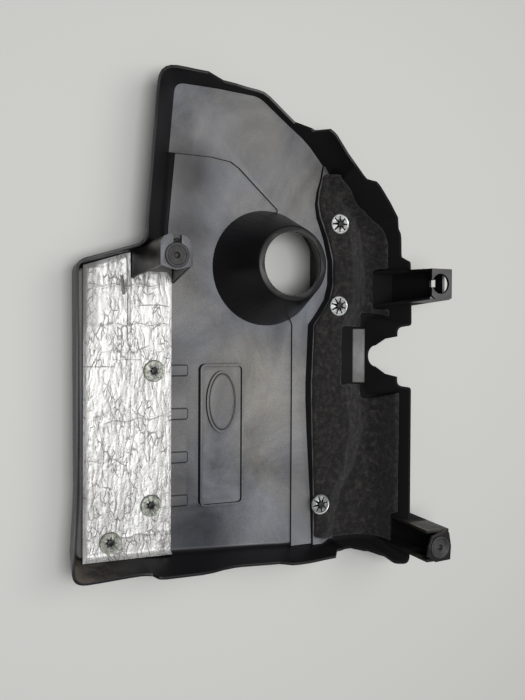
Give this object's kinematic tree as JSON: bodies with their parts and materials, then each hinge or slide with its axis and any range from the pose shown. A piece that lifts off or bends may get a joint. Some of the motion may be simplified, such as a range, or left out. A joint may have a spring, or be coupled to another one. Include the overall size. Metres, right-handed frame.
{
  "type": "engine cover",
  "caption": "Moulded plastic engine cover lying underside up: deep-walled tray with a raised filler opening, mounting posts, foil heat shield, felt pad and ball-stud grommets.",
  "frame": {"origin": "centre of the bounding box at its base, which is the cover's flat outer face", "axes": "+X across the cover to the right with the underside seen from above, +Y along the cover, +Z out of the underside towards the engine"},
  "size_m": [0.3823, 0.5033, 0.103],
  "materials": {
    "shell": "satin black moulding with a dusty film",
    "foil": "crinkled foil",
    "felt": "needled felt",
    "shield_nuts": "dull zinc plate with dirt",
    "felt_nuts": "bright zinc plate",
    "grommets": "matt rubber"
  },
  "bodies": {
    "root": {"cover_shell": "shell", "heat_shield": "foil", "felt_pad": "felt", "shield_push_nuts": "shield_nuts", "felt_push_nuts": "felt_nuts", "grommet_left": "grommets", "grommet_lower_right": "grommets"}
  },
  "joints": []
}
